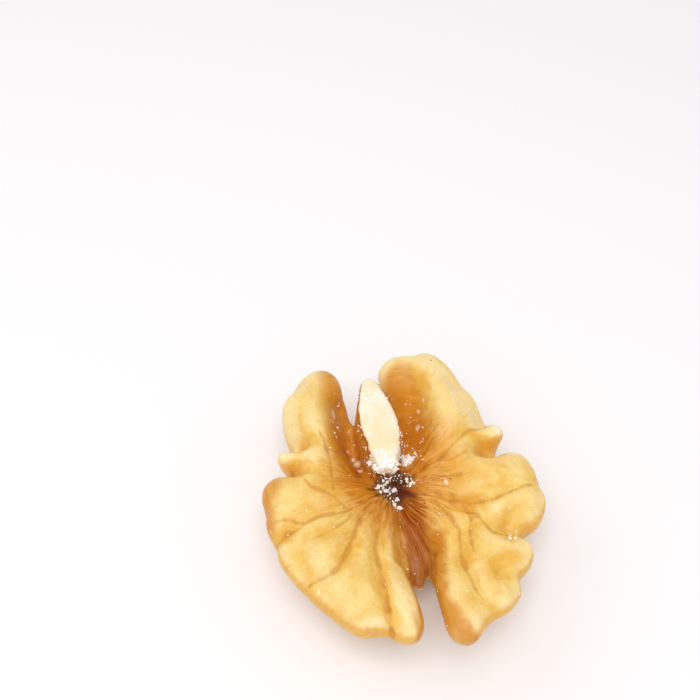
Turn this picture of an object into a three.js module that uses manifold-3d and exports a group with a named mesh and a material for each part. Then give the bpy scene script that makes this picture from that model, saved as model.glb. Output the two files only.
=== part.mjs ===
// A walnut kernel half: one of the two seed leaves of a walnut, as it comes out of the cracked shell.
// It lies on its domed, brain-like side with its inner face up. Two ruffled wings meet at a dark hub.
// A broken stump stands between their shoulders, where the other half was joined to this one,
// and a slit parts their tails. It is one piece, so it is one closed solid.
//
// Millimetres, +Z up. +X is the wing on the right, +Y points to the stump's end,
// and Z = 0 is the surface that the kernel lies on.
//
// The skin is the zero surface of a distance field: a core under the inner face, folds wrapped over
// the dome, and the stump. A grid finds the surface, and its points are then moved onto it exactly.

import * as THREE from "three";
import { mergeVertices } from "three/addons/utils/BufferGeometryUtils.js";
import Module from "manifold-3d";

// Driving dimensions
const rimHeight = 10.6; // inner face near its edge
const hubHeight = 5.9; // inner face at the dark hub, where all its folds meet
const wingReach = 10.5; // from the hub to where the inner face levels out
const edgeDroop = 1.0; // how far the inner face curls down at its edge
const droopWidth = 3.2; // width of that curl
const edgeRounding = 2.2; // roundness of the rim
const domeHalfWidth = 14.4;
const domeHalfLength = 16.0;
const domeMiddle = 1.1; // its middle along Y
const domeRise = 8.4; // height of the dome's own rim above its lowest point
const domeFullness = 2.3; // 2 gives a shallow bowl, more gives a flatter floor and steeper sides
const restingCut = 0.8; // depth of the dome that the small flat resting spot takes away
const grooveDepth = 1.6; // groove that runs along the middle of the dome
const grooveWidth = 1.7;
const coreInset = 0.4; // from the outline to the core
const trimSlack = 0.15; // how far the folds may swell past the outline
const trimRounding = 1.0; // roundness of the notches between two lobes of the rim
const foldRelief = 2.3; // how far the folds stand out of the core under them
const foldJoin = 0.6; // roundness of the crease between two folds
const foldReach = 6; // a fold of the inner face shapes nothing farther off than this
const stumpHeight = 10.9; // broken face of the stump, at its middle
const stumpMiddle = 8; // that middle along Y
const stumpTilt = 0.03; // rise of that face for each millimetre along Y
const stumpFlare = 0.08; // how much the stump widens for each millimetre below that face
const flareDepth = 4; // farther below that face it widens no more
const stumpRounding = 0.35; // roundness of the edge round that face
const stumpFoot = 2.2; // height of the stump's foot above the dome
const footRounding = 2.0;
const stumpJoin = 0.9; // roundness of the crease round the stump
const tongueJoin = 0.8; // roundness of the crease round the tongue
const searchLow = [-16, -17, -1.2]; // corners of the box that the grid fills
const searchHigh = [16, 18, 13.2];
const gridStep = 0.76; // spacing of the grid that finds the surface
const settleReach = 0.45; // how far a point may then move, as a share of that spacing
const skinColour = 0xdba458;

const { clamp, lerp, smoothstep } = THREE.MathUtils;

// The hub runs from the foot of the stump to the head of the slit.
const hubLine = [
  [-0.7, 3.4],
  [0.1, -4.4],
];

// Edge of the inner face, seen from above, clockwise from the notch on the left of the stump.
const outline = [
  [-3.0, 8.0], [-2.6, 11.5], [-2.9, 14.2], [-3.7, 16.3], [-5.1, 17.1], [-6.6, 16.9], [-8.1, 16.0],
  [-9.5, 14.2], [-10.3, 12.8], [-10.4, 11.4], [-10.2, 10.0], [-9.7, 8.7], [-9.2, 7.8], [-10.2, 7.6],
  [-11.3, 7.5], [-12.1, 6.9], [-12.1, 6.0], [-11.3, 5.4], [-10.5, 5.1], [-11.7, 5.2], [-13.0, 4.9],
  [-14.0, 4.0], [-14.6, 2.8], [-14.8, 1.4], [-14.7, 0.0], [-14.5, -1.1], [-13.8, -2.1], [-14.0, -3.1],
  [-13.6, -4.6], [-13.1, -5.8], [-12.4, -7.2], [-11.4, -8.5], [-10.6, -9.6], [-9.7, -10.7],
  [-9.2, -11.7], [-8.5, -12.6], [-7.6, -13.3], [-6.3, -13.4], [-5.2, -14.0], [-3.8, -15.0],
  [-2.8, -15.4], [-2.0, -15.1], [-1.5, -14.2], [-1.3, -12.9], [-1.3, -11.4], [-1.4, -10.2],
  [-1.5, -8.8], [-1.1, -7.0], [-0.1, -6.3], [0.9, -6.8], [0.7, -9.0], [0.2, -11.0], [0.0, -13.0],
  [0.1, -14.7], [0.4, -15.7], [1.2, -16.5], [2.2, -16.6], [3.1, -16.2], [3.6, -15.5], [4.0, -15.0],
  [4.9, -15.1], [5.8, -14.7], [6.9, -14.2], [7.8, -13.7], [8.5, -13.1], [8.6, -12.4], [8.3, -11.7],
  [8.3, -11.1], [9.2, -10.8], [10.2, -10.3], [10.9, -9.6], [11.2, -8.6], [10.9, -7.6], [10.1, -7.0],
  [9.9, -6.4], [10.8, -6.2], [12.0, -6.3], [13.0, -5.9], [13.8, -5.1], [14.3, -3.7], [14.4, -2.4],
  [14.4, -1.2], [14.3, 0.0], [13.8, 1.2], [13.0, 2.2], [11.6, 2.6], [10.1, 2.9], [10.2, 3.3],
  [11.4, 3.4], [12.3, 3.7], [12.7, 4.5], [12.7, 5.2], [12.2, 5.8], [11.3, 6.2], [10.9, 7.0],
  [10.9, 8.2], [10.8, 9.7], [9.8, 11.2], [9.2, 13.0], [8.3, 14.8], [6.8, 16.5], [5.0, 17.2],
  [3.0, 17.2], [1.5, 16.4], [0.9, 15.0], [0.9, 13.2], [1.2, 11.2], [1.5, 9.0], [0.5, 7.6], [-1.7, 6.7],
  [-2.6, 7.0],
];

// Crests, channels and creases of the inner face: points [x, y, rise, width].
const innerFolds = [
  // left shoulder
  [[-5.9, 14.4, 0.4, 2.0], [-7.3, 11.8, 0.7, 2.2], [-8.2, 8.0, 0.7, 2.2], [-9.0, 4.5, 0.3, 2.2]],
  // its flank
  [[-2.9, 15.4, -3.0, 1.5], [-2.8, 11.4, -4.2, 2.0], [-2.9, 7.6, -4.0, 2.1], [-2.7, 4.6, -1.8, 2.0]],
  // trough between the stump and the right shoulder
  [
    [3.5, 13.2, -0.8, 1.1], [3.9, 11.9, -2.0, 1.5], [3.8, 9.8, -2.4, 1.7], [3.3, 7.5, -2.4, 1.6],
    [3.0, 5.4, -1.5, 1.3], [2.1, 3.7, -0.5, 1.0],
  ],
  // right side of the stump
  [[1.6, 12.5, -0.9, 1.3], [1.9, 9.5, -1.8, 1.4], [1.7, 6.5, -1.4, 1.3], [1.2, 4.6, -0.8, 1.2]],
  // right shoulder
  [
    [2.4, 15.6, 0.5, 1.3], [4.7, 15.2, 0.8, 1.4], [6.5, 12.8, 0.9, 1.6], [6.7, 9.8, 0.9, 1.8],
    [6.5, 7.0, 0.8, 1.8], [6.0, 4.4, 0.3, 1.6],
  ],
  // slit valley
  [[-0.3, 1.6, -0.2, 1.2], [0.0, -2.0, -1.2, 1.4], [0.0, -5.5, -2.6, 1.5], [-0.4, -10.0, -2.6, 1.2]],
  // left tail
  [[-2.6, -3.4, 0.3, 1.3], [-2.8, -7.5, 0.9, 1.3], [-2.8, -11.5, 1.0, 1.3], [-2.8, -14.0, 0.1, 1.3]],
  // right tail
  [
    [2.0, -3.5, 0.3, 1.2], [2.1, -7.0, 0.9, 1.2], [1.7, -10.2, 1.0, 1.2], [1.5, -12.4, 0.9, 1.2],
    [2.0, -14.8, 0.3, 1.2],
  ],
  // four veins of the left wing, from the left tail outwards
  [
    [-2.2, 0.5, -0.3, 0.6], [-3.0, -1.9, -0.6, 0.7], [-4.1, -6.0, -0.9, 0.8], [-4.5, -10.0, -1.1, 0.8],
    [-4.6, -13.6, -1.6, 0.9],
  ],
  [
    [-3.7, -0.3, -0.3, 0.6], [-5.3, -2.5, -0.5, 0.7], [-7.0, -5.5, -0.8, 0.8], [-8.9, -7.3, -0.8, 0.8],
    [-11.4, -8.3, -0.5, 0.9],
  ],
  [[-5.7, -1.5, -0.2, 0.6], [-7.8, -2.8, -0.5, 0.7], [-10.3, -3.4, -0.3, 0.7]],
  [
    [-13.4, -2.5, -1.6, 1.1], [-11.7, -1.4, -1.0, 1.0], [-8.5, -0.6, -0.5, 0.8],
    [-5.5, -1.1, -0.2, 0.7],
  ],
  // veins of the right wing, from its shoulder to its tail
  [[11.0, 6.0, -1.2, 0.8], [8.4, 5.0, -0.6, 0.7], [6.0, 4.0, -0.5, 0.6], [3.0, 2.9, -0.3, 0.6]],
  [
    [12.0, -2.2, -0.3, 0.9], [8.5, -2.7, -0.8, 0.9], [6.0, -2.9, -0.9, 0.8], [4.3, -2.0, -0.6, 0.7],
    [2.9, -0.7, -0.2, 0.6],
  ],
  [[6.0, -3.0, -0.5, 0.7], [7.2, -5.0, -0.7, 0.9], [8.4, -6.1, -0.8, 0.9], [10.0, -6.6, -1.4, 0.9]],
  [[6.1, -3.4, -0.3, 0.6], [5.8, -5.2, -0.4, 0.6], [5.0, -7.2, -0.3, 0.6]],
  [[3.5, -4.7, -0.3, 0.6], [3.9, -6.9, -0.6, 0.7], [3.8, -9.0, -0.6, 0.7], [4.3, -12.0, -0.3, 0.7]],
  // short creases that run in from the notches of the rim
  [[8.2, -11.3, -1.2, 0.7], [6.6, -10.2, -0.4, 0.8]],
  [[-9.3, 7.8, -1.8, 0.8], [-7.9, 7.5, -0.4, 0.8]],
  [[-10.7, 5.2, -1.6, 0.8], [-8.8, 4.4, -0.6, 0.8], [-6.5, 3.4, -0.2, 0.7]],
  [[10.3, 3.0, -1.8, 0.9], [8.2, 2.6, -0.5, 0.8]],
];

// Folds wrapped round the rim and over the dome: points [x, y, lift, radius], where a lift of 1 is
// just under the inner face and a lift of 0 is out on the dome.
const domeFolds = [
  [
    [3.6, 14.3, 0.9, 2.7], [4.6, 12.2, 0.1, 2.5], [3.5, 8.8, 0, 2.1], [3.5, 5.4, 0, 2.0],
    [2.4, 2.4, 0, 1.8],
  ],
  [
    [6.5, 13.7, 0.9, 2.8], [8.2, 11.2, 0.2, 2.4], [7.3, 7.8, 0, 2.1], [8.0, 4.9, 0, 2.0],
    [6.4, 2.0, 0, 2.0], [4.2, -0.3, 0, 2.0],
  ],
  [[8.9, 9.2, 0.95, 1.9], [10.3, 7.7, 0.4, 1.8], [11.2, 5.8, 0.1, 1.6]],
  [[11.4, 4.8, 1.0, 1.2], [10.4, 4.2, 0.5, 1.4], [10.0, 1.4, 0.1, 1.8], [7.8, -0.5, 0, 1.9]],
  [
    [12.2, 0.4, 0.9, 1.9], [12.3, -1.4, 0.6, 2.0], [9.2, -3.1, 0, 2.0], [6.2, -2.6, 0, 1.9],
    [3.4, -3.5, 0, 1.9], [2.1, -1.7, 0, 1.7],
  ],
  [
    [12.3, -3.7, 0.9, 2.0], [11.0, -5.7, 0.2, 2.0], [8.6, -7.3, 0, 2.0], [5.8, -6.4, 0, 2.0],
    [3.0, -7.5, 0, 1.9],
  ],
  [[9.5, -8.8, 0.9, 1.7], [8.2, -10.6, 0.1, 1.9], [6.0, -10.5, 0, 2.0], [3.4, -11.9, 0, 2.0]],
  [[7.1, -12.3, 0.9, 1.5], [5.9, -13.1, 0.2, 1.7]],
  [[2.0, -8.0, 0.9, 1.3], [1.7, -10.8, 0.9, 1.5], [1.7, -13.2, 0.9, 1.6], [2.0, -14.6, 0.8, 1.8]],
  [[2.3, -14.6, 0.7, 1.9], [3.2, -13.8, 0.2, 2.0]],
  [
    [-5.4, 14.6, 0.9, 2.5], [-6.8, 12.8, 0.3, 2.3], [-5.4, 10.0, 0, 2.2], [-4.0, 7.4, 0, 2.0],
    [-4.4, 4.4, 0, 1.9], [-2.2, 2.0, 0, 1.8],
  ],
  [
    [-8.3, 12.2, 0.9, 2.0], [-9.2, 9.8, 0.1, 2.0], [-7.8, 7.0, 0, 2.0], [-8.0, 4.2, 0, 2.0],
    [-6.1, 1.0, 0, 2.0], [-2.8, -1.1, 0, 1.9],
  ],
  [[-11.0, 6.6, 1.0, 1.0], [-10.0, 6.3, 0.4, 1.3]],
  [
    [-12.2, 2.6, 0.9, 2.0], [-11.8, 0.8, 0.1, 2.0], [-9.5, -0.9, 0, 2.0], [-6.9, -2.3, 0, 2.0],
    [-4.0, -4.1, 0, 1.9], [-1.7, -3.3, 0, 1.6],
  ],
  [[-12.5, -0.5, 0.9, 1.8], [-12.3, -1.5, 0.4, 1.8]],
  [
    [-11.2, -6.5, 0.8, 1.7], [-12.0, -4.1, 0.9, 1.9], [-10.5, -4.5, 0.1, 2.1], [-7.9, -6.4, 0, 2.1],
    [-5.3, -7.8, 0, 2.0], [-2.6, -7.1, 0, 1.8],
  ],
  [[-10.0, -8.2, 0.9, 1.8], [-9.0, -9.6, 0.1, 1.9], [-6.5, -11.0, 0, 2.0], [-3.4, -11.2, 0, 2.0]],
  [[-7.4, -11.4, 0.9, 1.7], [-6.3, -13.0, 0.2, 1.8]],
  [[-2.9, -8.2, 0.9, 1.3], [-2.8, -10.6, 0.9, 1.4], [-3.0, -13.2, 0.8, 1.8], [-3.2, -13.2, 0.3, 1.9]],
  [[-4.3, 13.4, 0.5, 1.5], [-4.1, 11.4, 0.5, 1.5], [-4.0, 9.4, 0.5, 1.4], [-3.9, 8.0, 0.3, 1.3]],
];

// Broken stump, seen from above: points [x, y, radius] from its free end to the hub.
const stump = [
  [-0.45, 12.5, 1.0], [-0.55, 9.8, 1.9], [-0.5, 7.4, 2.1], [-0.75, 4.6, 1.7], [-0.95, 3.4, 1.1],
];

// Thin tongue that closes the head of the slit low down: points [x, y, z, radius].
const tongue = [[0.0, -3.0, 4.6, 1.3], [0.1, -5.8, 4.3, 1.4], [-0.2, -8.0, 4.0, 0.7]];

// Smooth union of two distances, with a fillet about as wide as the given width.
function join(a, b, width) {
  const near = Math.max(width - Math.abs(a - b), 0) / width;
  return Math.min(a, b) - (near * near * width) / 4;
}

// Smooth overlap of two distances.
function overlap(a, b, width) {
  return -join(-a, -b, width);
}

// Nearest place of a chain of points to x, y, seen from above: its distance, and how far along it is,
// counted in points.
function nearestPlace(chain, x, y) {
  let nearest = Infinity;
  let place = 0;
  for (let i = 0; i + 1 < chain.length; i++) {
    const a = chain[i];
    const dx = chain[i + 1][0] - a[0];
    const dy = chain[i + 1][1] - a[1];
    const t = clamp(((x - a[0]) * dx + (y - a[1]) * dy) / (dx * dx + dy * dy), 0, 1);
    const squared = (x - a[0] - t * dx) ** 2 + (y - a[1] - t * dy) ** 2;
    if (squared < nearest) {
      nearest = squared;
      place = i + t;
    }
  }
  return { distance: Math.sqrt(nearest), place };
}

// Value number k of a chain at one of its places.
function valueAt(chain, place, k) {
  const i = Math.min(Math.floor(place), chain.length - 2);
  return lerp(chain[i][k], chain[i + 1][k], place - i);
}

// Rounds a chain off with a spline through its points. Every column of a point is carried along.
function rounded(points, steps) {
  const columns = points[0].map((_, k) => points.map((p) => p[k]));
  const paths = columns.map((c) => new THREE.CatmullRomCurve3(c.map((v, i) => new THREE.Vector3(i, v, 0))));
  const count = steps * (points.length - 1);
  return Array.from({ length: count + 1 }, (_, i) => paths.map((path) => path.getPoint(i / count).y));
}

const outlineCurve = new THREE.CatmullRomCurve3(
  outline.map(([x, y]) => new THREE.Vector3(x, y, 0)),
  true,
);
const edge = outlineCurve.getPoints(2 * outline.length).map((p) => [p.x, p.y]);
const innerChains = innerFolds.map((fold) => rounded(fold, 3));
const domeChains = domeFolds.map((fold) => rounded(fold, 3));

// Signed distance to the outline, seen from above: below 0 inside it.
function toOutline(x, y) {
  let inside = false;
  for (let i = 0; i + 1 < edge.length; i++) {
    const a = edge[i];
    const b = edge[i + 1];
    if (a[1] > y !== b[1] > y && x < a[0] + ((b[0] - a[0]) * (y - a[1])) / (b[1] - a[1])) inside = !inside;
  }
  const { distance } = nearestPlace(edge, x, y);
  return inside ? -distance : distance;
}

// Height of the inner face.
function innerFace(x, y, outside) {
  const reach = clamp(nearestPlace(hubLine, x, y).distance / wingReach, 0, 1);
  let height = lerp(hubHeight, rimHeight, reach * (2 - reach));
  height -= edgeDroop * smoothstep(outside, -droopWidth, 0);
  for (const chain of innerChains) {
    const { distance, place } = nearestPlace(chain, x, y);
    if (distance > foldReach) continue;
    height += valueAt(chain, place, 2) * Math.exp(-((distance / valueAt(chain, place, 3)) ** 2));
  }
  return height;
}

// Height of the dome, without its folds. A groove parts its two wings.
function dome(x, y) {
  const reach = Math.hypot(x / domeHalfWidth, (y - domeMiddle) / domeHalfLength);
  const groove = grooveDepth * Math.exp(-((x / grooveWidth) ** 2));
  return domeRise * reach ** domeFullness + groove - restingCut;
}

// Chains of balls [x, y, z, radius] under the skin of the folds.
const foldBalls = domeChains.map((chain) =>
  chain.map(([x, y, lift, radius]) => {
    const top = innerFace(x, y, toOutline(x, y)) - radius;
    return [x, y, lerp(dome(x, y) + radius, top, clamp(lift, 0, 1)), radius];
  }),
);

// Distance to a chain of balls with tapered stretches between them.
function toBalls(chain, x, y, z) {
  let nearest = Infinity;
  for (let i = 0; i + 1 < chain.length; i++) {
    const a = chain[i];
    const b = chain[i + 1];
    const dx = b[0] - a[0];
    const dy = b[1] - a[1];
    const dz = b[2] - a[2];
    const along = (x - a[0]) * dx + (y - a[1]) * dy + (z - a[2]) * dz;
    const t = clamp(along / (dx * dx + dy * dy + dz * dz), 0, 1);
    const away = Math.sqrt((x - a[0] - t * dx) ** 2 + (y - a[1] - t * dy) ** 2 + (z - a[2] - t * dz) ** 2);
    nearest = Math.min(nearest, away - lerp(a[3], b[3], t));
  }
  return nearest;
}

// All that the shape needs to know about one place seen from above, kept for further calls there.
let column = { x: NaN, y: NaN };
function columnAt(x, y) {
  if (column.x === x && column.y === y) return column;
  const outside = toOutline(x, y);
  const { distance, place } = nearestPlace(stump, x, y);
  column = { x, y, outside, inner: innerFace(x, y, outside), dome: dome(x, y) };
  column.fromStump = distance - valueAt(stump, place, 2);
  return column;
}

function toStump(x, y, z) {
  const { fromStump, dome: bottom } = columnAt(x, y);
  const face = stumpHeight + stumpTilt * (y - stumpMiddle);
  const side = fromStump - stumpFlare * Math.min(face - z, flareDepth);
  return overlap(overlap(side, z - face, stumpRounding), bottom + stumpFoot - z, footRounding);
}

// The whole kernel: below 0 inside it.
function kernel(x, y, z) {
  const { outside, inner, dome: bottom } = columnAt(x, y);
  const topped = overlap(outside + coreInset, z - inner, edgeRounding);
  let value = overlap(topped, bottom + foldRelief - z, edgeRounding);
  for (const chain of foldBalls) value = join(value, toBalls(chain, x, y, z), foldJoin);
  value = overlap(value, outside - trimSlack, trimRounding);
  value = join(value, toBalls(tongue, x, y, z), tongueJoin);
  return join(value, toStump(x, y, z), stumpJoin);
}

// Which corners of a grid cell an edge joins, with corner n at (n & 1, n >> 1 & 1, n >> 2).
const cellEdges = [];
for (let a = 0; a < 8; a++)
  for (const bit of [1, 2, 4]) if (!(a & bit)) cellEdges.push([a, a | bit]);

// True if the corners of one kind in a cell hang together along its edges.
function together(corners) {
  if (!corners) return true;
  let seen = corners & -corners;
  for (let pass = 0; pass < 8; pass++)
    for (const [a, b] of cellEdges) {
      if (!((corners >> a) & 1) || !((corners >> b) & 1)) continue;
      if (((seen >> a) & 1) || ((seen >> b) & 1)) seen |= (1 << a) | (1 << b);
    }
  return seen === corners;
}
const clearCell = Array.from({ length: 256 }, (_, inside) => together(inside) && together(255 - inside));

// The zero surface of a field as an indexed geometry: one point in each cell that the surface crosses,
// and a quad round each grid edge that it crosses.
function zeroSurface(field, low, high, step) {
  const [nx, ny, nz] = low.map((l, k) => Math.ceil((high[k] - l) / step) + 1);
  const at = (i, j, k) => i + nx * (j + ny * k);
  const offsets = Array.from({ length: 8 }, (_, c) => at(c & 1, (c >> 1) & 1, c >> 2));
  const values = new Float64Array(nx * ny * nz);
  for (let j = 0; j < ny; j++)
    for (let i = 0; i < nx; i++)
      for (let k = 0; k < nz; k++)
        values[at(i, j, k)] = field(low[0] + i * step, low[1] + j * step, low[2] + k * step) || 1e-6;

  const cornersInside = (cell) => {
    let mask = 0;
    offsets.forEach((offset, corner) => {
      if (values[cell + offset] < 0) mask |= 1 << corner;
    });
    return mask;
  };
  const eachCell = (visit) => {
    for (let k = 0; k + 1 < nz; k++)
      for (let j = 0; j + 1 < ny; j++) for (let i = 0; i + 1 < nx; i++) visit(at(i, j, k), i, j, k);
  };

  // Where two sheets would touch inside one cell, its shallowest inner corner is put just outside.
  const justOutside = 0.02 * step;
  for (let unclear = true; unclear; ) {
    unclear = false;
    eachCell((cell) => {
      if (clearCell[cornersInside(cell)]) return;
      const inner = offsets.filter((o) => values[cell + o] < 0);
      const shallowest = inner.reduce((a, b) => (values[cell + b] > values[cell + a] ? b : a));
      values[cell + shallowest] = justOutside;
      unclear = true;
    });
  }

  const pointOf = new Map();
  const points = [];
  eachCell((cell, i, j, k) => {
    const inside = cornersInside(cell);
    if (inside === 0 || inside === 255) return;
    const sum = new THREE.Vector3();
    let crossings = 0;
    for (const [a, b] of cellEdges) {
      const [va, vb] = [values[cell + offsets[a]], values[cell + offsets[b]]];
      if (va < 0 === vb < 0) continue;
      const t = va / (va - vb);
      sum.x += lerp(a & 1, b & 1, t);
      sum.y += lerp((a >> 1) & 1, (b >> 1) & 1, t);
      sum.z += lerp(a >> 2, b >> 2, t);
      crossings++;
    }
    const place = sum.divideScalar(crossings).add(new THREE.Vector3(i, j, k)).multiplyScalar(step);
    pointOf.set(cell, points.length);
    points.push(place.add(new THREE.Vector3(...low)));
  });

  const triangles = [];
  const strides = [at(1, 0, 0), at(0, 1, 0), at(0, 0, 1)];
  eachCell((cell) => {
    strides.forEach((along, axis) => {
      if (values[cell] < 0 === values[cell + along] < 0) return;
      const [u, v] = [strides[(axis + 1) % 3], strides[(axis + 2) % 3]];
      const quad = [cell, cell - u, cell - u - v, cell - v].map((c) => pointOf.get(c));
      if (values[cell] > 0) quad.reverse();
      const [a, b, c, d] = quad;
      const shorter = points[a].distanceTo(points[c]) < points[b].distanceTo(points[d]);
      triangles.push(...(shorter ? [a, b, c, a, c, d] : [b, c, d, b, d, a]));
    });
  });
  for (const point of points) settle(point, field, settleReach * step);

  const geometry = new THREE.BufferGeometry().setFromPoints(points);
  geometry.setIndex(triangles);
  return geometry;
}

// Moves a point down the field's slope onto the zero surface, by no more than the given distance.
function settle(point, field, most) {
  const start = point.clone();
  const probe = 0.02; // how far off the slope is measured
  const flattest = 0.3; // a slope is taken to be no flatter than this, so that no step is too long
  for (let pass = 0; pass < 4; pass++) {
    const { x, y, z } = point;
    const here = field(x, y, z);
    const above = field(x, y, z + probe);
    const slope = new THREE.Vector3(field(x + probe, y, z), field(x, y + probe, z), above);
    slope.subScalar(here).divideScalar(probe);
    point.addScaledVector(slope, -here / Math.max(slope.lengthSq(), flattest));
    point.sub(start).clampLength(0, most).add(start);
  }
}

const wasm = await Module();
wasm.setup();

function solidOf(geometry) {
  const bare = geometry.clone();
  bare.deleteAttribute("normal");
  bare.deleteAttribute("uv");
  const merged = mergeVertices(bare);
  return new wasm.Manifold(
    new wasm.Mesh({
      numProp: 3,
      vertProperties: merged.attributes.position.array,
      triVerts: new Uint32Array(merged.index.array),
    }),
  );
}

function geometryOf(solid) {
  const { vertProperties, triVerts } = solid.getMesh();
  const geometry = new THREE.BufferGeometry();
  geometry.setAttribute("position", new THREE.BufferAttribute(vertProperties, 3));
  geometry.setIndex(new THREE.BufferAttribute(triVerts, 1));
  geometry.computeVertexNormals();
  return geometry;
}

// The small flat spot that the kernel rests on: all below Z = 0 is cut away.
const skin = solidOf(zeroSurface(kernel, searchLow, searchHigh, gridStep));
const groundSize = 60;
const ground = new THREE.BoxGeometry(groundSize, groundSize, groundSize).translate(0, 0, -groundSize / 2);
const geometry = geometryOf(skin.subtract(solidOf(ground)));

// Seen from above, the middle of its bounding box is the origin.
geometry.computeBoundingBox();
const middle = geometry.boundingBox.getCenter(new THREE.Vector3());
geometry.translate(-middle.x, -middle.y, 0);

const kernelHalf = new THREE.Mesh(
  geometry,
  new THREE.MeshStandardMaterial({ color: skinColour, roughness: 0.5, metalness: 0 }),
);
kernelHalf.name = "kernel_half";

const part = new THREE.Group();
part.name = "walnut_kernel_half";
part.add(kernelHalf);

export default part;
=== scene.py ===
# Half of a walnut kernel, as it comes out of the cracked shell, lying on its domed side.
import math
import random
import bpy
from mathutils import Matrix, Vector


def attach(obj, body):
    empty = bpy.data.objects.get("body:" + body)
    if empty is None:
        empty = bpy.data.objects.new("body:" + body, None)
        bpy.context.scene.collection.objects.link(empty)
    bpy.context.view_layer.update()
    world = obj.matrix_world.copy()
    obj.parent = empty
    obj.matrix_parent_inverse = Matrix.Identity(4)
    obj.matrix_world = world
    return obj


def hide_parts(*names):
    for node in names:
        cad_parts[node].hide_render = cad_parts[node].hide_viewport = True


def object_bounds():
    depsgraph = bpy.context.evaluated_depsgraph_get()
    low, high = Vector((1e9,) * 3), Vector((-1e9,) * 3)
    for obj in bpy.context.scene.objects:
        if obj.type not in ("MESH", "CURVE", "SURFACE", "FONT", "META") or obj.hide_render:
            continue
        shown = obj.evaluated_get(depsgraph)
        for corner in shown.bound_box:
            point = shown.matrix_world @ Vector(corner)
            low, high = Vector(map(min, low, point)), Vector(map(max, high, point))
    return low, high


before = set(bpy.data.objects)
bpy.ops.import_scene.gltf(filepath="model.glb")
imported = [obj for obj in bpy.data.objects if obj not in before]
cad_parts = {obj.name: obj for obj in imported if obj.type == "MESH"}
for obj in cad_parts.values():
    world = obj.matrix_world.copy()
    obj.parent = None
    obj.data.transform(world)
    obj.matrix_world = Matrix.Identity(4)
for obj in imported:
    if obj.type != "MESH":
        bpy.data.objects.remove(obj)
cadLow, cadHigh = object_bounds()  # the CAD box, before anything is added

from types import SimpleNamespace

import bmesh
import bpy
import numpy as np
from mathutils import Matrix, Vector, noise
from mathutils.bvhtree import BVHTree

mm = 0.001

# All points below are in millimetres in the kernel's plan, seen from above with the stump pointing
# away. The frame's origin is at this point of the plan, on the table.
planMiddle = (-0.026, 0.247)
toPlan = Matrix.Translation((planMiddle[0], planMiddle[1], 0)) @ Matrix.Scale(1 / mm, 4)
fromPlan = toPlan.inverted()
boxLow = toPlan @ Vector(cadLow)
boxHigh = toPlan @ Vector(cadHigh)


# Small helpers


def linear(hexColour):  # "#e6af4c" to linear red, green, blue and alpha
    parts = [int(hexColour[i : i + 2], 16) / 255 for i in (1, 3, 5)]
    return tuple(c / 12.92 if c < 0.04045 else ((c + 0.055) / 1.055) ** 2.4 for c in parts) + (1.0,)


def addNode(tree, kind, settings=None, links=None, output=0):
    node = tree.nodes.new(kind)
    for name, value in (settings or {}).items():
        if name == "stops":  # a colour ramp's two places and colours
            for stop, (place, colour) in zip(node.color_ramp.elements, value):
                stop.position = place
                stop.color = linear(colour)
        elif isinstance(name, str) and hasattr(node, name):
            setattr(node, name, value)
        else:
            node.inputs[name].default_value = value
    for name, source in (links or {}).items():
        tree.links.new(source, node.inputs[name])
    return node.outputs[output] if node.outputs else node


def emptyMaterial(name):
    material = bpy.data.materials.new(name)
    material.use_nodes = True
    material.node_tree.nodes.clear()
    return material, material.node_tree


def addObject(name, data):
    added = bpy.data.objects.new(name, data)
    bpy.context.scene.collection.objects.link(added)
    return added


def addPiece(name, mesh):
    piece = addObject(name, mesh)
    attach(piece, "root")
    return piece


def noiseAt(places, perMm, seed):  # smooth noise, about -1 to 1
    shift = Vector((seed * 7.3, seed * 3.1, seed * 5.7))
    return np.array([noise.noise(Vector(p) + shift) for p in (places * perMm).tolist()])


def smoothStep(value, low, high):
    t = np.clip((value - low) / (high - low), 0, 1)
    return t * t * (3 - 2 * t)


def toLine(places, line):  # distance to a line of points, seen from above, and how far along it, 0 to 1
    nearest = np.full(len(places), np.inf)
    along = np.zeros(len(places))
    points = np.array([p[:2] for p in line])
    for i in range(len(points) - 1):
        step = points[i + 1] - points[i]
        t = np.clip(((places[:, :2] - points[i]) @ step) / (step @ step), 0, 1)
        away = np.linalg.norm(places[:, :2] - points[i] - t[:, None] * step, axis=1)
        closer = away < nearest
        nearest[closer] = away[closer]
        along[closer] = (i + t[closer]) / (len(points) - 1)
    return nearest, along


def placesOf(mesh):
    places = np.empty(len(mesh.vertices) * 3)
    mesh.vertices.foreach_get("co", places)
    return places.reshape(-1, 3)


def putPlaces(mesh, places):
    mesh.vertices.foreach_set("co", places.ravel())
    mesh.update()


def normalsOf(mesh):
    normals = np.empty(len(mesh.vertices) * 3)
    mesh.vertex_normals.foreach_get("vector", normals)
    return normals.reshape(-1, 3)


def averaged(mesh, values, steps):  # draws each vertex's values to its neighbours' mean, step by step
    ends = np.empty(len(mesh.edges) * 2, np.int64)
    mesh.edges.foreach_get("vertices", ends)
    a, b = ends.reshape(-1, 2).T
    count = len(mesh.vertices)
    degree = np.bincount(a, minlength=count) + np.bincount(b, minlength=count)
    columns = []
    for v in values.reshape(count, -1).T:
        for _ in range(steps):
            total = np.bincount(a, v[b], count) + np.bincount(b, v[a], count)
            v = 0.5 * v + 0.5 * total / degree
        columns.append(v)
    return np.column_stack(columns)


def dipOf(mesh, places, normals, steps):  # how far each vertex lies below its surroundings, in mm
    return np.einsum("ij,ij->i", averaged(mesh, places, steps) - places, normals)


# The kernel's skin

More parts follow.
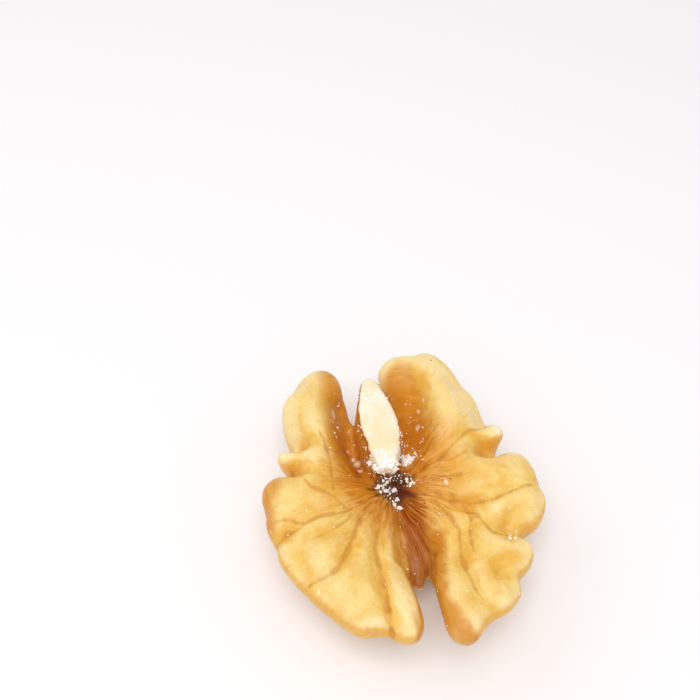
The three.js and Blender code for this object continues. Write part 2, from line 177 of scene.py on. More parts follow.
kernel = {
    "voxelMm": 0.185,  # size of the finer faces
    "weldMm": 0.002,  # corners of the CAD solid that are nearer than this are joined
    "roundings": 2,  # subdivisions that round its faces off before they are made finer
    "evenSteps": 3,  # smoothing that takes the remesher's steps away
    "creaseSteps": 14,  # smoothing that a crease is measured against
    "valleySteps": 110,  # and a valley or a crest
    "creaseSharpen": 1.4,  # how much crisper the creases get than in the CAD solid
    "creaseMostMm": 0.10,
    "rippleMm": 0.035,  # height of the skin's fine unevenness
    "strandMm": 0.10,  # height of the strands that run out from the hub
    "furrowMm": 0.12,  # depth of the furrows between them
    "strandReachMm": 9.5,  # where they fade out
    "veinMm": 0.07,  # depth of the veins
    "scarMm": 0.06,  # depth of the places where the skin has come off
    "stumpRoughMm": 0.05,  # roughness of the stump's broken face
}
hub = (-0.4, 2.3)
slitLine = [(0.1, 3.0), (0.6, 0.6), (0.5, -2.0), (0.4, -4.3), (0.3, -6.4), (-0.2, -8.6)]

# The stump: points of its middle line with its half width, its slanting broken face as in the CAD
# solid, and the stretch under the face's near end where its foot is broken too.
stumpLine = [(-0.45, 12.5, 1.0), (-0.55, 9.8, 1.9), (-0.5, 7.4, 2.1), (-0.75, 4.6, 1.7), (-0.95, 3.4, 1.1)]
stumpFace = {"height": 10.9, "rise": 0.03, "middle": 8.0}
stumpFoot = {"middle": -0.8, "halfWidth": 2.0, "nearEnd": 2.2, "farEnd": 4.6, "low": 8.7, "high": 9.3}

# Steep flanks painted amber, the skin's own amber deepened there as painted shade: points, then how far it
# is full and where it ends.
shadedAmberSides = [
    ([(-3.3, 15.6), (-3.6, 11.5), (-3.8, 7.6), (-3.6, 4.6), (-4.2, 2.2)], 1.0, 2.9),
    ([(3.1, 13.0), (3.3, 11.0), (3.3, 8.0), (2.9, 5.4), (2.0, 3.8)], 0.9, 2.6),
    ([(2.4, -5.0), (1.5, -8.2), (0.9, -10.4), (0.6, -12.8), (0.9, -14.6), (2.2, -16.2)], 0.2, 1.15),
    ([(-1.0, -8.6), (-1.1, -11.0), (-1.6, -13.2), (-2.2, -15.2)], 0.2, 0.9),
    ([(-14.3, -0.5), (-14.0, 1.6), (-12.9, 3.4)], 0.3, 1.7),
]

# Rims and lobes painted paler on their upward faces, as painted light on their tops: points, the same two
# distances and how pale.
paleLitCrests = [
    ([(0.6, 13.4), (2.6, 15.6), (6.1, 14.9), (8.1, 11.2), (9.0, 7.8), (9.9, 6.2)], 0.5, 2.1, 0.75),
    ([(-4.0, 15.6), (-6.3, 15.2), (-8.7, 13.1), (-9.8, 10.6), (-9.9, 9.0)], 0.4, 1.8, 0.75),
    ([(-12.2, 1.9), (-9.8, 1.3), (-8.6, 0.2)], 0.2, 1.3, 0.3),
    ([(-10.2, -4.6), (-8.9, -8.8), (-8.0, -11.4)], 0.2, 1.6, 0.45),
    ([(8.6, 1.8), (10.8, 0.6), (11.9, -0.9)], 0.2, 1.5, 0.4),
    ([(4.9, -9.8), (5.0, -13.0)], 0.1, 1.1, 0.4),
]

# The left tail's groove is shallower half-way, and runs on to the tail's edge.
tailGroove = {"line": [(-4.6, -12.0), (-4.7, -13.2), (-4.9, -15.2)], "width": 0.32, "depth": 0.3}
grooveBridge = {"place": (-4.45, -11.4), "width": 0.9, "lift": 0.32}

# Veins of the inner face: width, then points.
veins = [
    (0.30, [(-6.9, 8.4), (-6.6, 7.2), (-6.5, 6.2), (-6.5, 4.7), (-6.6, 3.5), (-6.8, 1.6)]),
    (0.26, [(-10.5, 5.4), (-9.1, 2.0), (-8.0, 1.4), (-7.0, 0.7), (-6.2, -0.4), (-5.5, -1.1)]),
    (
        0.28,
        [(-13.6, -0.7), (-11.9, -0.9), (-10.4, -1.7), (-9.1, -1.3), (-6.4, -1.1), (-3.8, 0.1), (-2.2, 1.4)],
    ),
    (0.34, [(-14.0, -2.9), (-13.5, -2.6), (-12.3, -2.1), (-11.0, -2.1), (-10.4, -1.7)]),
    (0.24, [(-10.0, -3.6), (-8.6, -3.2), (-7.0, -2.4), (-5.5, -1.3)]),
    (
        0.32,
        [(-11.2, -7.8), (-9.1, -7.4), (-8.1, -6.7), (-7.0, -5.4), (-5.4, -2.7), (-3.8, -0.4), (-2.2, 1.4)],
    ),
    (
        0.36,
        [(-4.8, -14.2), (-4.6, -12.8), (-4.4, -10.9), (-4.2, -6.6), (-4.0, -4.9), (-3.5, -3.5), (-1.8, 0.7)],
    ),
    (0.20, [(11.0, 5.6), (8.6, 5.0), (6.8, 4.0), (5.9, 3.4), (4.9, 2.8), (4.0, 2.7), (2.2, 3.1)]),
    (0.24, [(7.2, 0.0), (4.9, 0.5)]),
    (0.27, [(12.7, -2.6), (10.4, -2.9), (8.6, -3.2), (6.6, -2.8), (4.5, -1.9), (2.6, 0.3), (1.6, 1.7)]),
    (0.32, [(5.6, -2.6), (6.5, -4.0), (6.9, -5.2), (7.3, -6.6), (9.4, -7.0)]),
    (0.26, [(6.0, -2.8), (6.0, -4.1), (5.6, -5.3), (5.1, -6.4), (5.0, -7.9)]),
    (0.32, [(4.1, -13.2), (3.8, -12.1), (3.7, -9.7), (3.8, -7.9), (4.4, -5.2), (3.4, -1.8), (1.4, 1.2)]),
]
noVein = 9.0  # this many widths away, no vein shows

scars = [  # places where the skin has come off or worn thin: x, y and radius
    (11.9, 4.9, 0.8), (12.9, 1.6, 0.35), (-14.2, -1.2, 0.4), (-11.0, 6.6, 0.25), (-10.5, -8.6, 0.28),
    (-4.8, 11.0, 0.5), (-5.1, 10.0, 0.3), (-3.9, 7.9, 0.28), (-3.4, 6.5, 0.4), (-3.3, 5.2, 0.42),
    (4.4, 9.5, 0.32), (3.9, 8.1, 0.42), (2.7, 5.2, 0.28), (4.6, 0.1, 0.3), (8.0, -13.0, 0.3),
    (5.0, 10.3, 0.26),
]


def finerForm(node, size):  # the CAD solid's own form in small even faces, in the plan's millimetres
    mesh = node.data.copy()
    mesh.transform(toPlan @ node.matrix_world)
    joined = bmesh.new()
    joined.from_mesh(mesh)
    bmesh.ops.remove_doubles(joined, verts=joined.verts, dist=size["weldMm"])
    joined.to_mesh(mesh)
    joined.free()
    mesh.materials.clear()
    form = addObject("form", mesh)
    rounding = form.modifiers.new("rounding", "SUBSURF")
    rounding.levels = size["roundings"]
    remesh = form.modifiers.new("remesh", "REMESH")
    remesh.mode = "VOXEL"
    remesh.voxel_size = size["voxelMm"]
    finer = bpy.data.meshes.new_from_object(form.evaluated_get(bpy.context.evaluated_depsgraph_get()))
    bpy.data.objects.remove(form)
    finer.name = "kernelSkin"
    return finer


def strandsOf(places, reachMost):  # wrinkles that run out from the hub, and the furrows between them
    out = places[:, :2] - hub
    reach = np.linalg.norm(out, axis=1)
    turn = np.arctan2(out[:, 1], out[:, 0]) + 0.10 * noiseAt(places, 0.3, 21)
    turn += 0.02 * noiseAt(places, 0.9, 22)
    fan = np.column_stack([np.cos(turn), np.sin(turn), reach])
    broad = noiseAt(fan, (6.0, 6.0, 0.12), 1)
    fine = noiseAt(fan, (13.0, 13.0, 0.16), 2)
    strand = broad + 0.5 * fine * smoothStep(reach, 2.0, 4.5)
    patches = smoothStep(noiseAt(fan, (3.0, 3.0, 0.5), 3), -0.3, 0.3)
    furrow = (1 - smoothStep(np.abs(broad), 0.0, 0.16)) * patches
    fade = 1 - smoothStep(reach, 0.25 * reachMost, reachMost)
    return fan, reach, fade, strand, furrow


def veinsOf(places, dome):  # distance to the nearest vein, in widths of that vein
    widths = np.full(len(places), noVein)
    wobble = 0.22 * noiseAt(places, 0.8, 5) + 0.07 * noiseAt(places, 2.6, 6)
    for width, line in veins:
        away, along = toLine(places, line)
        taper = 0.8 * width * (0.7 + 0.3 * np.sin(np.pi * along))
        widths = np.minimum(widths, np.abs(away + wobble) / taper)
    winding = np.abs(noiseAt(places, 0.17, 31) + 0.25 * noiseAt(places, 0.6, 32)) / 0.05
    return np.minimum(widths, winding + noVein * (1 - dome))  # those of the dome wind


def stumpOf(places, normals):  # 1 on the stump's broken face and down its foot, and 1 on its torn edge
    away, along = toLine(places, stumpLine)
    radius = np.interp(along, np.linspace(0, 1, len(stumpLine)), [p[2] for p in stumpLine])
    over = places[:, 2] - (stumpFace["height"] + stumpFace["rise"] * (places[:, 1] - stumpFace["middle"]))
    ragged = 0.16 * noiseAt(places, 1.3, 11) + 0.10 * noiseAt(places, 4.0, 12)
    face = smoothStep(radius - 0.12 + ragged - away, -0.10, 0.10) * smoothStep(over, -0.7, -0.3)
    foot = smoothStep(stumpFoot["farEnd"] + 3 * ragged - places[:, 1], 0, 0.4)
    foot *= smoothStep(places[:, 2] + 5 * ragged, stumpFoot["low"], stumpFoot["high"])
    foot *= smoothStep(stumpFoot["halfWidth"] - np.abs(places[:, 0] - stumpFoot["middle"]), 0, 0.4)
    foot *= places[:, 1] > stumpFoot["nearEnd"]
    torn = 1 - smoothStep(np.abs(away - radius - 0.1), 0.25, 0.55)
    torn *= smoothStep(over + 3 * ragged, -1.4, -0.2)
    return np.maximum(face * (normals[:, 2] > 0.1), foot), torn


def scarsOf(places, upward):  # 1 where the skin has come off
    scar = np.zeros(len(places))
    ragged = 0.35 * noiseAt(places, 2.2, 14) + 0.25 * noiseAt(places, 5.0, 15)
    for x, y, radius in scars:
        aside = np.hypot(places[:, 0] - x, places[:, 1] - y)
        middle = places[np.argmin(aside + 9 * (upward < 0.5))]
        away = np.linalg.norm(places - middle, axis=1) / radius
        scar = np.maximum(scar, smoothStep(1.15 - away + 1.4 * ragged, 0.0, 0.35))
    return scar * upward


def readForm(mesh, size):  # what the form is like at each vertex, most of it from 0 to 1
    putPlaces(mesh, averaged(mesh, placesOf(mesh), size["evenSteps"]))
    places = placesOf(mesh)
    normals = normalsOf(mesh)
    at = SimpleNamespace(places=places, normals=normals)
    at.crease = averaged(mesh, dipOf(mesh, places, normals, size["creaseSteps"]), 2)[:, 0]
    at.valley = dipOf(mesh, places, normals, size["valleySteps"])
    at.upward = smoothStep(normals[:, 2], -0.1, 0.4) * smoothStep(places[:, 2], 3.0, 4.5)
    at.dome = 1 - smoothStep(normals[:, 2], -0.5, 0.3)
    at.stump, at.skinEdge = stumpOf(places, normals)
    at.fan, at.reach, at.fade, at.strand, at.furrow = strandsOf(places, size["strandReachMm"])
    at.veinWidths = veinsOf(places, at.dome)
    grooveAway = toLine(places, tailGroove["line"])[0] / tailGroove["width"]
    at.groove = np.exp(-(grooveAway**2))
    bridgeAway = np.linalg.norm(places[:, :2] - grooveBridge["place"], axis=1) / grooveBridge["width"]
    at.bridge = np.exp(-(bridgeAway**2)) * at.upward  # where the groove is filled up again
    at.scar = scarsOf(places, at.upward)
    return at


def raiseRelief(mesh, at, size):  # the skin's fine relief, and the rough break of the stump
    lift = -size["creaseSharpen"] * np.clip(at.crease, 0, size["creaseMostMm"])
    lift += size["strandMm"] * at.strand * at.fade * at.upward
    lift -= size["furrowMm"] * at.furrow * at.fade**1.5 * at.upward
    lift -= size["veinMm"] * np.exp(-(at.veinWidths**2)) * np.maximum(at.upward, at.dome)
    lift -= tailGroove["depth"] * at.groove * at.upward
    lift += grooveBridge["lift"] * at.bridge
    lift -= size["scarMm"] * at.scar
    lift += size["rippleMm"] * (noiseAt(at.places, 1.3, 7) + 0.5 * noiseAt(at.places, 3.1, 8))
    at.places = at.places + at.normals * (lift * (1 - at.stump))[:, None]

    rough = noiseAt(at.places, (1.4, 0.7, 1.0), 16) + 0.7 * noiseAt(at.places, 3.6, 17)
    nearEnd = 1 - smoothStep(at.places[:, 1], 3.8, 5.4)
    farEnd = smoothStep(at.places[:, 1], 11.2, 12.4)
    crumbled = 1 + 2.5 * nearEnd + 1.5 * farEnd
    rough = size["stumpRoughMm"] * rough * crumbled * at.stump
    at.places = at.places + at.normals * rough[:, None]
    putPlaces(mesh, np.clip(at.places, boxLow, boxHigh))


def markSkin(mesh, at):  # leaves on each vertex what the material follows, and gives the marks' names
    places = at.places
    height = places[:, 2]
    ragged = 0.5 * noiseAt(places, 0.7, 23)
    amberAndShade = np.zeros(len(places))
    # The steep flanks: the skin's own amber, with painted shade over it.
    for line, full, end in shadedAmberSides:
        amberAndShade = np.maximum(amberAndShade, 1 - smoothStep(toLine(places, line)[0] + ragged, full, end))
    # Painted light: these rims and lobes are painted paler, on their upward faces only.
    pale = np.zeros(len(places))
    for line, full, end, share in paleLitCrests:
        pale = np.maximum(pale, share * (1 - smoothStep(toLine(places, line)[0] + ragged, full, end)))
    dark = 1 - smoothStep(at.reach + 0.5 * noiseAt(places, 1.5, 18) - 1.8 * at.strand, 1.3, 2.7)
    patchy = noiseAt(places, 0.75, 24) + 0.5 * noiseAt(places, 1.9, 25)
    patchy = 0.35 + 0.65 * smoothStep(patchy, -0.35, 0.5)
    edgeOn = smoothStep(1 - at.normals[:, 2], 0.22, 0.75) * (1 - smoothStep(places[:, 1], 3, 9))
    inSlit = 1 - smoothStep(toLine(places, slitLine)[0], 0.5, 1.9)
    deep = 1 - smoothStep(height, 7.4, 9.6)
    nearHub = at.fade * at.upward
    stain = np.exp(-(((places[:, 1] - 5.4 + 2 * ragged) / 1.2) ** 2))
    marks = {
        # crest: painted light, paler on bumps that stand above their surroundings and on the lit tops listed
        # above
        "crest": np.maximum(0.85 * smoothStep(-at.valley, 0.03, 0.36), pale * at.upward),
        # valley: painted shade, a deeper golden in the hollows
        "valley": smoothStep(at.valley, 0.0, 0.32),
        # crease: painted shade, darker in the small creases
        "crease": smoothStep(at.crease, 0.015, 0.13),
        # painted shade: steep sides near the rim's top are painted a deeper golden
        "rimShade": edgeOn * smoothStep(height, 6.0, 8.5),
        "amberAndShade": amberAndShade,
        "troughs": amberAndShade * smoothStep(places[:, 1], 0, 3),
        "tailSides": np.maximum(amberAndShade * (1 - smoothStep(places[:, 1], -3, 0)), 0.35 * edgeOn),
        "nearHub": nearHub,
        "strands": nearHub * patchy,
        "furrow": at.furrow * nearHub * patchy,
        "veinWidths": at.veinWidths,
        # slit: the slit's brown, painted darker the deeper it goes, as painted shade
        "slit": inSlit * deep * at.upward,
        "hub": dark * smoothStep(height, 3.0, 4.5),
        # dome: painted shade, faces that turn down are painted darker brown
        "dome": at.dome,
        "broken": np.maximum(at.stump, 0.7 * at.scar),
        "stain": 0.6 * stain * at.stump,
        "skinEdge": at.skinEdge,
    }
    for name, values in marks.items():
        mark = mesh.attributes.new(name, "FLOAT", "POINT")
        mark.data.foreach_set("value", values.astype(np.float32))
    fan = mesh.attributes.new("fan", "FLOAT_VECTOR", "POINT")
    fan.data.foreach_set("vector", at.fan.astype(np.float32).ravel())
    return list(marks)


skinMesh = finerForm(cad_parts["kernel_half"], kernel)
formAt = readForm(skinMesh, kernel)
raiseRelief(skinMesh, formAt, kernel)
skinMarks = markSkin(skinMesh, formAt)
skinMesh.polygons.foreach_set("use_smooth", [True] * len(skinMesh.polygons))
ground = BVHTree.FromPolygons([v.co for v in skinMesh.vertices], [p.vertices for p in skinMesh.polygons])
skinMesh.transform(fromPlan)
skin = addPiece("kernelSkin", skinMesh)
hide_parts("kernel_half")
print("skin:", len(skinMesh.polygons), "faces")


# Crumbs of broken flesh that cling to it

crumbs = {
    "seed": 4,
    "corners": 11,  # points that each chip is the hull of
    "smallestMm": 0.06,
    "clumpMm": 0.26,  # how far the crumbs of one clump spread
    "proud": 0.15,  # how far a crumb's middle is above the skin, as a share of its size
    "lowestMm": 3.5,  # none cling lower down
    "fallsAlong": (0.1, 0.5, -0.86),  # so that they also cling to the stump's foot
    "fallMm": 30,
    "aimedAtMm": 8,  # height at which the heaps' places are meant
    # heaps: middle, spread, clumps, crumbs in a clump and largest crumb
    "heaps": [
        ((-0.8, 4.1), (0.70, 0.35), 26, 6, 0.46),
        ((1.5, 4.3), (0.20, 0.22), 7, 8, 0.46),
        ((-1.9, 4.3), (0.25, 0.5), 7, 5, 0.34),
        ((-0.6, 2.4), (0.9, 0.35), 10, 3, 0.26),
        ((-0.6, 1.5), (0.9, 0.35), 10, 4, 0.36),
        ((-0.9, 0.4), (0.25, 0.6), 7, 5, 0.36),
        ((1.3, 1.4), (0.5, 0.5), 5, 3, 0.26),
        ((1.6, 6.6), (0.14, 1.3), 12, 3, 0.24),
        ((-2.4, 7.2), (0.10, 1.9), 12, 2, 0.17),
        ((-0.4, 12.5), (0.55, 0.3), 12, 4, 0.24),
        ((-3.7, 5.6), (0.2, 1.0), 3, 3, 0.30),
        ((-4.7, 9.8), (0.3, 1.2), 3, 2, 0.24),
        ((4.0, 8.6), (0.3, 1.6), 5, 3, 0.26),
        ((3.0, 5.0), (0.4, 0.6), 4, 3, 0.24),
        ((9.8, -6.9), (0.35, 0.1), 3, 3, 0.28),
        ((-12.4, -5.4), (0.2, 0.6), 3, 2, 0.18),
    ],
    "strayCount": 120,
    "strayMm": 0.13,
    "strayReachMm": 13.0,
    "strayMiddle": 1.0,  # how far up the plan the strays' oval lies
    "strayLonger": 1.15,  # and how much longer than wide it is
    "colour": "#fffefb",
    "shade": "#fdf1df",
    "grainMm": 0.35,  # size of the patches of shade
}


def addCrumb(heap, place, size, corners, dice):  # an angular chip, the hull of points in a flat ball
    turn = Matrix.Rotation(dice.uniform(0, 2 * math.pi), 4, "Z")
    turn = turn @ Matrix.Rotation(dice.uniform(0, 0.9), 4, "X")
    stretch = (dice.uniform(0.7, 1.5), dice.uniform(0.5, 1.0), dice.uniform(0.3, 0.8))
    points = []
    for _ in range(corners):
        ray = Vector((dice.gauss(0, 1), dice.gauss(0, 1), dice.gauss(0, 1))).normalized()
        ray = ray * dice.uniform(0.7, 1.1)
        points.append(heap.verts.new(turn @ Vector(r * s * size for r, s in zip(ray, stretch)) + place))
    hull = bmesh.ops.convex_hull(heap, input=points)
    inside = [part for part in hull["geom_interior"] if isinstance(part, bmesh.types.BMVert)]
    bmesh.ops.delete(heap, geom=inside, context="VERTS")


def scatterCrumbs(look, ground):
    dice = random.Random(look["seed"])
    least = look["smallestMm"]
    fall = Vector(look["fallsAlong"]).normalized()
    wanted = []
    for (x, y), (spreadX, spreadY), clumps, count, largest in look["heaps"]:
        for _ in range(clumps):
            clumpX = dice.gauss(x, spreadX)
            clumpY = dice.gauss(y, spreadY)
            for _ in range(count):
                at = (dice.gauss(clumpX, look["clumpMm"]), dice.gauss(clumpY, look["clumpMm"]))
                wanted.append((at, largest))
    for _ in range(look["strayCount"]):
        reach = look["strayReachMm"] * math.sqrt(dice.random())
        turn = dice.uniform(0, 2 * math.pi)
        y = look["strayMiddle"] + look["strayLonger"] * reach * math.sin(turn)
        wanted.append(((reach * math.cos(turn), y), look["strayMm"]))
    heap = bmesh.new()
    for (x, y), largest in wanted:
        size = least + (largest - least) * dice.random() ** 1.8  # small ones are the most common
        start = Vector((x, y, look["aimedAtMm"])) - look["fallMm"] * fall
        place, normal, _, _ = ground.ray_cast(start, fall)
        highest = boxHigh.z - 1.3 * size  # so that none stands out of the CAD box
        if place and normal.z > -0.1 and look["lowestMm"] < place.z < highest:
            addCrumb(heap, place + normal * size * look["proud"], size, look["corners"], dice)
    made = bpy.data.meshes.new("crumbs")
    heap.to_mesh(made)
    heap.free()
    made.transform(fromPlan)
    return made


crumbMesh = scatterCrumbs(crumbs, ground)
addPiece("crumbs", crumbMesh)
print("crumbs:", len(crumbMesh.polygons), "faces")


# Walnut pellicle, a thin dry skin grown onto oily flesh. It shines softly, lets light into the cream
# flesh under it, and turns brown where it is folded thick round the hub.
pellicle = {
    "golden": "#ebb64a",
    "pale": "#f5d47c",
    # crest: painted light on the bumps and tops
    "crest": "#fce6ae",
    # valley: painted shade in the hollows; the same colour also tints the lines and pores
    "valley": "#e0a02e",
    # painted shade on the steep sides near the rim's top
    "rimShade": "#ecb038",
    # crease: painted shade in the creases
    "crease": "#c86e12",
    # amber: the skin's own amber, with painted shade on the steep flanks
    "amberAndShade": "#d68c1e",
    # dome: painted shade on the faces that turn down
    "dome": "#cf8f34",
    "strands": "#dc860e",
    "furrow": "#a84400",
    "dashes": "#963400",
    "vein": "#c47818",
    # slit: brown with painted shade, darker deeper in the slit
    "slit": "#a0500a",
    "hub": "#4e2016",
    "speck": "#5e3218",
    "tornEdge": "#b0601a",
    "flesh": "#fcf2df",
    "fleshShade": "#f6e5be",
    "stain": "#f0dc9e",
    "skinRoughness": 0.34,
    "fleshRoughness": 0.85,
    "cloudMm": 3.2,  # size of the pale and golden clouds
    "poreMm": 0.35,  # size of the skin's finest unevenness
    "poreDepthMm": 0.05,
    "speckMm": 2.4,  # spacing of the dark specks
    "lineMm": 0.24,  # width of the growth lines, some way out from the hub
    "lineDepthMm": 0.08,
    "lightReachMm": 0.8,  # how far light spreads in the flesh
}

# Its colours, each over the ones before: the colour, what it follows, the value of that at which it
# starts and the one at which it is full, its share there, and the mark that it keeps to.
pellicleLayers = [
    # painted shade on the faces that turn down
    ("dome", "dome", 0, 1, 0.8, None),
    # painted shade in the hollows
    ("valley", "valley", 0, 1, 0.3825, None),
    # painted light on the bumps and tops
    ("crest", "crest", 0, 1, 1.0, None),
    # painted shade on the steep sides near the rim's top
    ("rimShade", "rimShade", 0, 1, 0.8, None),
    # the skin's amber on the steep flanks, partly painted shade
    ("amberAndShade", "amberAndShade", 0, 1, 0.85, None),
    ("strands", "nearHub", 0, 1, 0.75, None),
    # the slit's brown with painted shade, darker deeper down
    ("slit", "slit", 0, 1, 0.85, None),
    ("valley", "lines", 0.50, 0.95, 0.4, None),
    ("valley", "pores", 0.50, 0.85, 0.3, None),
    ("dashes", "lines", 0.52, 0.66, 0.55, "strands"),
    ("pale", "lines", 0.47, 0.34, 0.6, "strands"),
    ("furrow", "rings", 0.52, 0.90, 0.4, "troughs"),
    ("pale", "rings", 0.44, 0.20, 0.4, "troughs"),
    ("dashes", "dashes", 0.52, 0.60, 0.75, "strands"),
    ("dashes", "lines", 0.46, 0.62, 0.7, "slit"),
    ("furrow", "lines", 0.50, 0.66, 0.3, "tailSides"),
    ("vein", "veinWidths", 1.2, 0.0, 0.6, None),
    # painted shade in the creases
    ("crease", "crease", 0, 1, 0.176, None),
    ("furrow", "furrow", 0, 1, 0.51, None),
    ("hub", "hub", 0, 1, 0.85, None),
    ("speck", "speckAway", 0.06, 0.035, 0.8, "speckCells"),
    ("tornEdge", "skinEdge", 0, 1, 0.9, None),
]


def walnutPellicle(look, layers, marks):
    material, tree = emptyMaterial("walnutPellicle")
    place = addNode(tree, "ShaderNodeTexCoord", output="Object")
    fan = addNode(tree, "ShaderNodeAttribute", {"attribute_name": "fan"}, output="Vector")
    follow = {}  # what the layers can follow: the marks, and the patterns below
    for name in marks:
        follow[name] = addNode(tree, "ShaderNodeAttribute", {"attribute_name": name}, output="Fac")

    # Patterns: where each lies, how it is stretched, its detail and its roughness. Lines fan out from
    # the hub, dashes lie in the folds close to it and rings go round it: the fan's first two numbers
    # turn once round the hub, and its third is the way out.
    perCloud = 1 / (look["cloudMm"] * mm)
    perPore = 1 / (look["poreMm"] * mm)
    perTurn = 7 / look["lineMm"]
    for name, where, stretch, detail, roughness in (
        ("clouds", place, (perCloud, perCloud, perCloud), 6.0, 0.68),
        ("pores", place, (perPore, perPore, perPore), 3.0, 0.5),
        ("lines", fan, (perTurn, perTurn, 0.2), 3.0, 0.6),
        ("dashes", fan, (perTurn, perTurn, 0.7), 3.0, 0.6),
        ("rings", fan, (1.6, 1.6, 0.8 / look["lineMm"]), 3.0, 0.6),
    ):
        stretched = addNode(tree, "ShaderNodeVectorMath", {"operation": "MULTIPLY", 1: stretch}, {0: where})
        grains = {"Scale": 1.0, "Detail": detail, "Roughness": roughness}
        follow[name] = addNode(tree, "ShaderNodeTexNoise", grains, {"Vector": stretched})

    # Dark specks: half of the pattern's cells hold one, in the middle.
    cells = {"Scale": 1 / (look["speckMm"] * mm)}
    chance = addNode(tree, "ShaderNodeTexVoronoi", cells, {"Vector": place}, "Color")
    follow["speckAway"] = addNode(tree, "ShaderNodeTexVoronoi", cells, {"Vector": place}, "Distance")
    half = {"operation": "GREATER_THAN", 1: 0.5}
    follow["speckCells"] = addNode(tree, "ShaderNodeMath", half, {0: chance})

    clouds = {"stops": [(0.38, look["golden"]), (0.62, look["pale"])]}
    colour = addNode(tree, "ShaderNodeValToRGB", clouds, {"Fac": follow["clouds"]}, "Color")
    for name, followed, start, full, most, keptTo in layers:
        limits = {"From Min": start, "From Max": full, "To Max": most}
        share = addNode(tree, "ShaderNodeMapRange", limits, {"Value": follow[followed]})
        if keptTo:
            kept = {0: share, 1: follow[keptTo]}
            share = addNode(tree, "ShaderNodeMath", {"operation": "MULTIPLY"}, kept)
        over = {"data_type": "RGBA", 7: linear(look[name])}
        colour = addNode(tree, "ShaderNodeMix", over, {0: share, 6: colour}, 2)

    # Bare flesh, cream and matt, on the stump and in the scars.
    shades = {"stops": [(0.35, look["fleshShade"]), (0.6, look["flesh"])]}
    flesh = addNode(tree, "ShaderNodeValToRGB", shades, {"Fac": follow["clouds"]}, "Color")
    stain = {"data_type": "RGBA", 7: linear(look["stain"])}
    flesh = addNode(tree, "ShaderNodeMix", stain, {0: follow["stain"], 6: flesh}, 2)
    limits = {"From Min": 0.35, "From Max": 0.85}
    bare = addNode(tree, "ShaderNodeMapRange", limits, {"Value": follow["broken"]})
    colour = addNode(tree, "ShaderNodeMix", {"data_type": "RGBA"}, {0: bare, 6: colour, 7: flesh}, 2)
    roughnesses = {"To Min": look["skinRoughness"], "To Max": look["fleshRoughness"]}
    roughness = addNode(tree, "ShaderNodeMapRange", roughnesses, {"Value": bare})

    pits = {"Strength": 0.4, "Distance": look["poreDepthMm"] * mm}
    relief = addNode(tree, "ShaderNodeBump", pits, {"Height": follow["pores"]})
    ridges = {"Strength": 0.35, "Distance": look["lineDepthMm"] * mm}
    relief = addNode(tree, "ShaderNodeBump", ridges, {"Height": follow["lines"], "Normal": relief})
    skinAndFlesh = {
        "IOR": 1.45,
        "Specular IOR Level": 0.28,
        "Subsurface Weight": 0.3,
        "Subsurface Radius": (1.0, 0.55, 0.22),  # red light goes the farthest, which warms the edges
        "Subsurface Scale": look["lightReachMm"] * mm,
    }
    driven = {"Base Color": colour, "Roughness": roughness, "Normal": relief}
    surface = addNode(tree, "ShaderNodeBsdfPrincipled", skinAndFlesh, driven)
    addNode(tree, "ShaderNodeOutputMaterial", {}, {"Surface": surface})
    return material


# Walnut flesh, crushed and dry where it broke, so it is cream and quite matt.
def walnutFlesh(look):
    material, tree = emptyMaterial("walnutFlesh")
    place = addNode(tree, "ShaderNodeTexCoord", output="Object")
    grains = {"Scale": 1 / (look["grainMm"] * mm), "Detail": 2.0}
    patches = addNode(tree, "ShaderNodeTexNoise", grains, {"Vector": place})
    shades = {"stops": [(0.3, look["shade"]), (0.5, look["colour"])]}
    colour = addNode(tree, "ShaderNodeValToRGB", shades, {"Fac": patches}, "Color")
    surface = addNode(tree, "ShaderNodeBsdfPrincipled", {"Roughness": 0.8}, {"Base Color": colour})
    addNode(tree, "ShaderNodeOutputMaterial", {}, {"Surface": surface})
    return material


skinMesh.materials.append(walnutPellicle(pellicle, pellicleLayers, skinMarks))
crumbMesh.materials.append(walnutFlesh(crumbs))
print("materials: pellicle and flesh")


# Table, light and camera

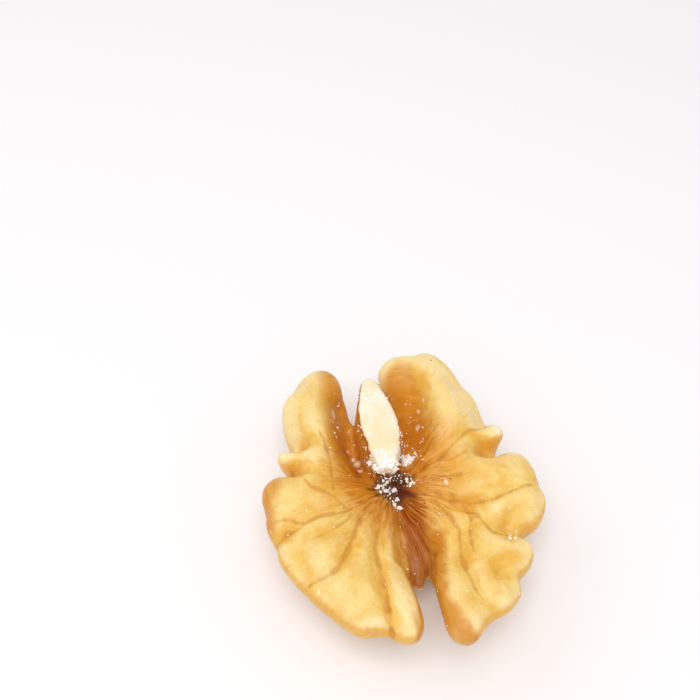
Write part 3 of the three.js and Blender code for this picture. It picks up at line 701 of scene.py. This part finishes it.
studio = {
    "floorMm": 1200,
    "floorColour": "#f9f7f8",
    "skyLight": 0.61,
    "keyWatts": 0.84,
    "keyPlaceMm": (-50, -110, 400),
    "keySizeMm": 240,
    "fillWatts": 0.12,
    "fillPlaceMm": (-220, 160, 260),
    "fillSizeMm": 200,
}
camera = {
    "placeMm": (-15.27, -42.39, 91.64),  # in the plan
    "headingDegrees": 13.0,  # to the right of +Y
    "downDegrees": 52.7,
    "lensMm": 46.9,
    "sensorMm": 36,
    "nearestMm": 5,
}


def whiteBoard(colour):  # melamine board, pressed smooth: even, white and barely glossy
    material, tree = emptyMaterial("whiteBoard")
    board = {"Base Color": linear(colour), "Roughness": 0.55}
    surface = addNode(tree, "ShaderNodeBsdfPrincipled", board)
    addNode(tree, "ShaderNodeOutputMaterial", {}, {"Surface": surface})
    return material


def softLight(name, place, size, watts):
    light = bpy.data.lights.new(name, "AREA")
    light.size = size * mm
    light.energy = watts
    lamp = addObject(name, light)
    lamp.location = Vector(place) * mm
    lamp.rotation_euler = (-lamp.location).to_track_quat("-Z", "Y").to_euler()


def setStudio(look):
    half = look["floorMm"] * mm / 2
    corners = [(-half, -half, 0), (half, -half, 0), (half, half, 0), (-half, half, 0)]
    sheet = bpy.data.meshes.new("floor")
    sheet.from_pydata(corners, [], [(0, 1, 2, 3)])
    sheet.materials.append(whiteBoard(look["floorColour"]))
    addObject("floor", sheet)
    softLight("key", look["keyPlaceMm"], look["keySizeMm"], look["keyWatts"])
    softLight("fill", look["fillPlaceMm"], look["fillSizeMm"], look["fillWatts"])
    sky = bpy.data.worlds.new("sky")
    sky.use_nodes = True
    background = sky.node_tree.nodes["Background"]
    background.inputs["Color"].default_value = (1, 1, 1, 1)
    background.inputs["Strength"].default_value = look["skyLight"]
    bpy.context.scene.world = sky
    bpy.context.scene.view_settings.view_transform = "Standard"


def setCamera(look):
    lens = bpy.data.cameras.new("camera")
    lens.lens = look["lensMm"]
    lens.sensor_width = look["sensorMm"]
    lens.clip_start = look["nearestMm"] * mm
    seenFrom = addObject("camera", lens)
    seenFrom.location = fromPlan @ Vector(look["placeMm"])
    tilt = math.radians(90 - look["downDegrees"])
    seenFrom.rotation_euler = (tilt, 0, math.radians(-look["headingDegrees"]))
    bpy.context.scene.camera = seenFrom


setStudio(studio)
setCamera(camera)
print("table, light and camera")
